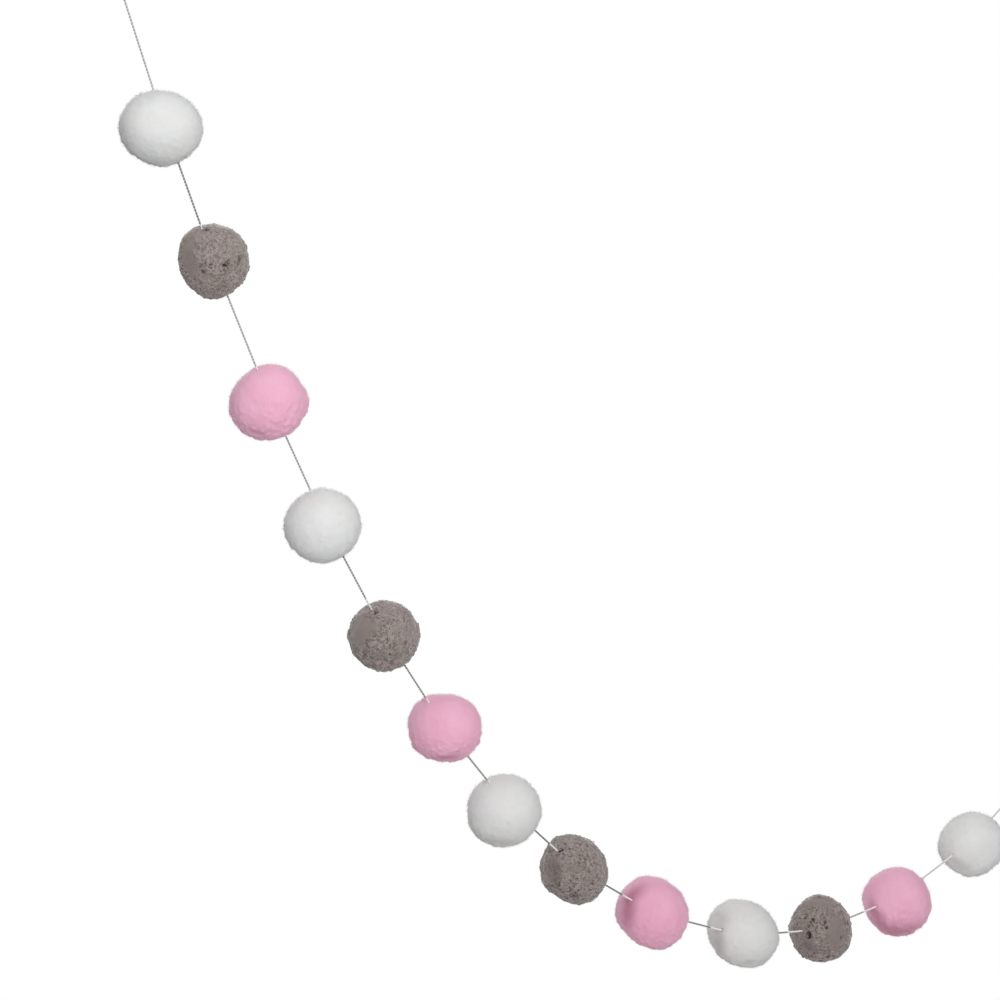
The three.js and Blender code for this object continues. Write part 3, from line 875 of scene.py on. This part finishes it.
def fibre():
    """A bent fibre, pointed at both ends."""
    deselect_all()
    bpy.ops.mesh.primitive_cone_add(
        vertices=3, radius1=FIBRE_THICKNESS / 2, radius2=0, depth=FIBRE_LENGTH / 2,
        end_fill_type="NOTHING", location=(0, 0, FIBRE_LENGTH * 0.75),
    )
    upper = bpy.context.object
    bpy.ops.object.transform_apply(location=True, rotation=True, scale=True)
    bpy.ops.object.mode_set(mode="EDIT")
    bpy.ops.mesh.select_all(action="DESELECT")
    bpy.ops.object.mode_set(mode="OBJECT")
    for vertex in upper.data.vertices:
        vertex.select = vertex.co.z < FIBRE_LENGTH * 0.6
    for edge in upper.data.edges:
        edge.select = all(upper.data.vertices[i].select for i in edge.vertices)
    bpy.ops.object.mode_set(mode="EDIT")
    bpy.ops.mesh.extrude_region_move(TRANSFORM_OT_translate={"value": (0, 0, -FIBRE_LENGTH / 2)})
    bpy.ops.mesh.merge(type="CENTER")
    bpy.ops.transform.translate(value=(FIBRE_LENGTH * FIBRE_BEND, 0, 0))
    bpy.ops.mesh.select_all(action="SELECT")
    bpy.ops.mesh.normals_make_consistent(inside=False)
    bpy.ops.object.mode_set(mode="OBJECT")
    upper.name = "fibre"
    return upper


def curl():
    """A small loop of curly wool, lying flat."""
    deselect_all()
    bpy.ops.mesh.primitive_torus_add(
        major_segments=8, minor_segments=3,
        major_radius=CURL_RADIUS, minor_radius=CURL_THICKNESS / 2,
    )
    ring = bpy.context.object
    bpy.ops.object.transform_apply(location=True, rotation=True, scale=True)
    ring.name = "curl"
    return ring


def planting_group():
    """Node group that covers a ball with copies of one fibre or curl, leaning together in locks."""
    tree, given, result = new_group("planting", "GeometryNodeTree", [
        ("Geometry", "Geometry"), ("Strand", "Object"), ("Density", "Float"), ("Lean", "Float"),
        ("Ruffle", "Float"), ("Least", "Float"), ("Most", "Float"), ("Sink", "Float"), ("Lift", "Float"),
        ("Seed", "Int"),
    ], [("Geometry", "Geometry")])
    flat = eased(tree, kept_value(tree, "pressed"), 0.5, 0.9, 1.0, 0.0)
    rough = eased(tree, kept_value(tree, "rubbed"), 0.1, 0.6, 1.0, 0.0)
    clear = eased(tree, kept_value(tree, "gripped"), 0.2, 0.9, 1.0, 0.0)
    share = math_node(tree, "MULTIPLY", math_node(tree, "MULTIPLY", flat, rough), clear)
    scatter = add_node(tree, "GeometryNodeDistributePointsOnFaces", {
        "Mesh": given.outputs["Geometry"], "Seed": given.outputs["Seed"],
        "Density": math_node(tree, "MULTIPLY", given.outputs["Density"], share),
    })
    strand = add_node(tree, "GeometryNodeObjectInfo", {"Object": given.outputs["Strand"]})
    place = add_node(tree, "GeometryNodeInputPosition")
    locks = add_node(tree, "ShaderNodeTexNoise", {
        "Vector": place.outputs["Position"], "Scale": LOCK_SCALE, "Detail": 1.0,
    })
    centred = vector_node(tree, "SUBTRACT", locks.outputs["Color"], (0.5, 0.5, 0.5))
    together = scaled(tree, centred, math_node(tree, "MULTIPLY", given.outputs["Lean"], LOCK_PULL))
    stray = add_node(tree, "FunctionNodeRandomValue", {
        "Min": (-1.0, -1.0, -1.0), "Max": (1.0, 1.0, 1.0), "Seed": given.outputs["Seed"],
    }, data_type="FLOAT_VECTOR")
    leaning = vector_node(tree, "ADD", scatter.outputs["Normal"], together)
    apart = scaled(tree, stray.outputs["Value"], given.outputs["Ruffle"])
    direction = vector_node(tree, "ADD", leaning, apart)
    upright = add_node(tree, "FunctionNodeAlignRotationToVector", {"Vector": direction}, axis="Z")
    spin = add_node(tree, "FunctionNodeRandomValue", {
        "Min": (0.0, 0.0, 0.0), "Max": (0.0, 0.0, 2 * math.pi),
        "Seed": math_node(tree, "ADD", given.outputs["Seed"], SPIN_SEEDS),
    }, data_type="FLOAT_VECTOR")
    turned = add_node(tree, "FunctionNodeRotateRotation", {
        "Rotation": upright.outputs["Rotation"], "Rotate By": spin.outputs["Value"],
    }, rotation_space="LOCAL")
    size = add_node(tree, "FunctionNodeRandomValue", {
        2: given.outputs["Least"], 3: given.outputs["Most"],
        "Seed": math_node(tree, "ADD", given.outputs["Seed"], SIZE_SEEDS),
    }, data_type="FLOAT")
    planted = add_node(tree, "GeometryNodeInstanceOnPoints", {
        "Points": scatter.outputs["Points"], "Instance": strand.outputs["Geometry"],
        "Rotation": turned.outputs["Rotation"], "Scale": size.outputs[1],
    })
    sunk = add_node(tree, "ShaderNodeCombineXYZ", {
        "Z": math_node(tree, "MULTIPLY", given.outputs["Sink"], -1.0),
    })
    lowered = add_node(tree, "GeometryNodeTranslateInstances", {
        "Instances": planted.outputs["Instances"], "Translation": sunk.outputs["Vector"],
    })
    real = add_node(tree, "GeometryNodeRealizeInstances", {"Geometry": lowered.outputs["Instances"]})
    # The fuzz takes on part of the painted hollow shade of the wool beneath, less its lift.
    shaded = math_node(tree, "MULTIPLY", kept_value(tree, "hollow"), HOLLOW_SHADE_SHARE)
    lighter = math_node(tree, "SUBTRACT", shaded, given.outputs["Lift"])
    kept = keep_value(tree, real.outputs["Geometry"], "hollow", lighter)
    tree.links.new(kept, result.inputs["Geometry"])
    return tree


plant_nodes = planting_group()
fibre_shape = fibre()
curl_shape = curl()
# Each layer of fuzz: how many strands there are in a square metre, how far they lean together and apart,
# their least and greatest size, how deep they are set, and how much lighter they are than the wool beneath.
HAZE = {
    "Strand": fibre_shape, "Density": 1.15e6, "Lean": 0.15, "Ruffle": 0.6, "Least": 0.4, "Most": 0.8,
    "Sink": 0.0002, "Lift": 0.0,
}
LOCKS = {
    "Strand": fibre_shape, "Density": 1.15e6, "Lean": 1.0, "Ruffle": 0.35, "Least": 0.5, "Most": 1.0,
    "Sink": 0.0001, "Lift": 0.0,
}
STRAYS = {
    "Strand": fibre_shape, "Density": 0.35e6, "Lean": 0.6, "Ruffle": 1.2, "Least": 0.4, "Most": 0.8,
    "Sink": 0.0001, "Lift": 0.1,
}
CURLS = {
    "Strand": curl_shape, "Density": 0.57e6, "Lean": 0.26, "Ruffle": 0.2, "Least": 0.6, "Most": 1.2,
    "Sink": 0.00014, "Lift": 0.5,
}
COVERS = {"white": [HAZE, LOCKS], "pink": [HAZE, LOCKS], "taupe": [CURLS, STRAYS]}


def fuzz(ball, name, covers, seed):
    """The fuzz of one ball, as one piece."""
    layers = []
    for layer, values in enumerate(covers):
        cover = ball.copy()
        cover.data = ball.data.copy()
        bpy.context.collection.objects.link(cover)
        work(cover, "planting", plant_nodes, {**values, "Seed": seed + LAYER_SEEDS * layer})
        apply_modifiers(cover)
        layers.append(cover)
    return join(layers, name)


materials = {kind: wool_material(kind + "_wool", wool) for kind, wool in WOOLS.items()}
for index, node in enumerate(sorted(node for node in frame["nodes"] if node.startswith("ball_"))):
    kind = node.split("_")[-1]
    ball = wool_ball(node, WOOLS[kind], DARKER_TONE[index])
    cover = fuzz(ball, node.replace("ball", "wool_fuzz"), COVERS[kind], FIRST_SEED + index)
    for piece in (ball, cover):
        piece.data.materials.clear()
        piece.data.materials.append(materials[kind])
        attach(piece, "root")
    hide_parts(node)
    cover.visible_shadow = kind == "taupe"
for helper in (fibre_shape, curl_shape, grip_line):
    bpy.data.objects.remove(helper)

# The thread is declared last, because the balls and the loops are what hangs on it.
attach(thread, "root")
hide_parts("thread")

# The floor is a plain pale disc below the lowest ball, which fades out towards its rim.
FLOOR_DROP = 0.2
FLOOR_RADIUS = 0.7
FLOOR_FADE = 0.4


def floor_material(middle):
    """Pale matt floor that fades out from FLOOR_FADE to its rim."""
    material = bpy.data.materials.new("pale_floor")
    material.use_nodes = True
    tree = material.node_tree
    shader = tree.nodes["Principled BSDF"]
    place = add_node(tree, "ShaderNodeTexCoord")
    distance = vector_node(tree, "DISTANCE", place.outputs["Object"], middle, output="Value")
    tree.links.new(eased(tree, distance, FLOOR_FADE, FLOOR_RADIUS, 1.0, 0.0), shader.inputs["Alpha"])
    shader.inputs["Base Color"].default_value = (0.7, 0.7, 0.7, 1)
    shader.inputs["Roughness"].default_value = 0.9
    return material


floor_middle = Vector(((cad_box[0].x + cad_box[1].x) / 2, 0, cad_box[0].z - FLOOR_DROP))
deselect_all()
bpy.ops.mesh.primitive_circle_add(vertices=96, radius=FLOOR_RADIUS, fill_type="NGON", location=floor_middle)
floor = bpy.context.object
bpy.ops.object.transform_apply(location=True, rotation=True, scale=True)
floor.name = "floor"
floor.data.materials.append(floor_material(floor_middle))

# A large soft lamp stands a little to the right of the camera and above it, and a weak one behind the
# garland, to the left and above. The white surroundings light it more from above than from below, and look
# plain white behind it.
LAMP_DISTANCE = 1.9
LAMP_RIGHT = 0.33
LAMP_UP = 0.3
LAMP_SIZE = 0.8
LAMP_POWER = 21
BACK_DISTANCE = 1.5
BACK_LEFT = 0.6
BACK_UP = 0.7
BACK_SIZE = 1.2
BACK_POWER = 9
# How strong the surroundings are above and below, and where they change over, as the height of a direction
# from -1, straight down, to 1, straight up.
LIGHT_ABOVE = 0.54
LIGHT_BELOW = 0.1
CHANGE_LOW = -0.6
CHANGE_HIGH = 0.4


def soft_lamp(name, place, aim, size, power):
    """A square lamp that points at a place."""
    deselect_all()
    bpy.ops.object.light_add(type="AREA", location=place)
    lamp = bpy.context.object
    lamp.name = name
    lamp.rotation_euler = (aim - place).to_track_quat("-Z", "Y").to_euler()
    lamp.data.size = size
    lamp.data.energy = power
    return lamp


lamp_place = VIEW_TARGET + to_camera * LAMP_DISTANCE + to_right * LAMP_RIGHT + to_top * LAMP_UP
soft_lamp("front_lamp", lamp_place, VIEW_TARGET, LAMP_SIZE, LAMP_POWER)
back_place = VIEW_TARGET - to_camera * BACK_DISTANCE - to_right * BACK_LEFT + to_top * BACK_UP
back_lamp = soft_lamp("back_lamp", back_place, VIEW_TARGET, BACK_SIZE, BACK_POWER)
back_lamp.visible_camera = False

world = bpy.data.worlds.new("surroundings")
bpy.context.scene.world = world
world.use_nodes = True
tree = world.node_tree
background = tree.nodes["Background"]
background.inputs["Color"].default_value = (1, 1, 1, 1)
direction = add_node(tree, "ShaderNodeTexCoord")
height = add_node(tree, "ShaderNodeSeparateXYZ", {"Vector": direction.outputs["Generated"]})
lighting = eased(tree, height.outputs["Z"], CHANGE_LOW, CHANGE_HIGH, LIGHT_BELOW, LIGHT_ABOVE)
seen = add_node(tree, "ShaderNodeLightPath")
strength = add_node(tree, "ShaderNodeMix", {
    "Factor": seen.outputs["Is Camera Ray"], "A": lighting, "B": 1.0,
})
tree.links.new(strength.outputs["Result"], background.inputs["Strength"])
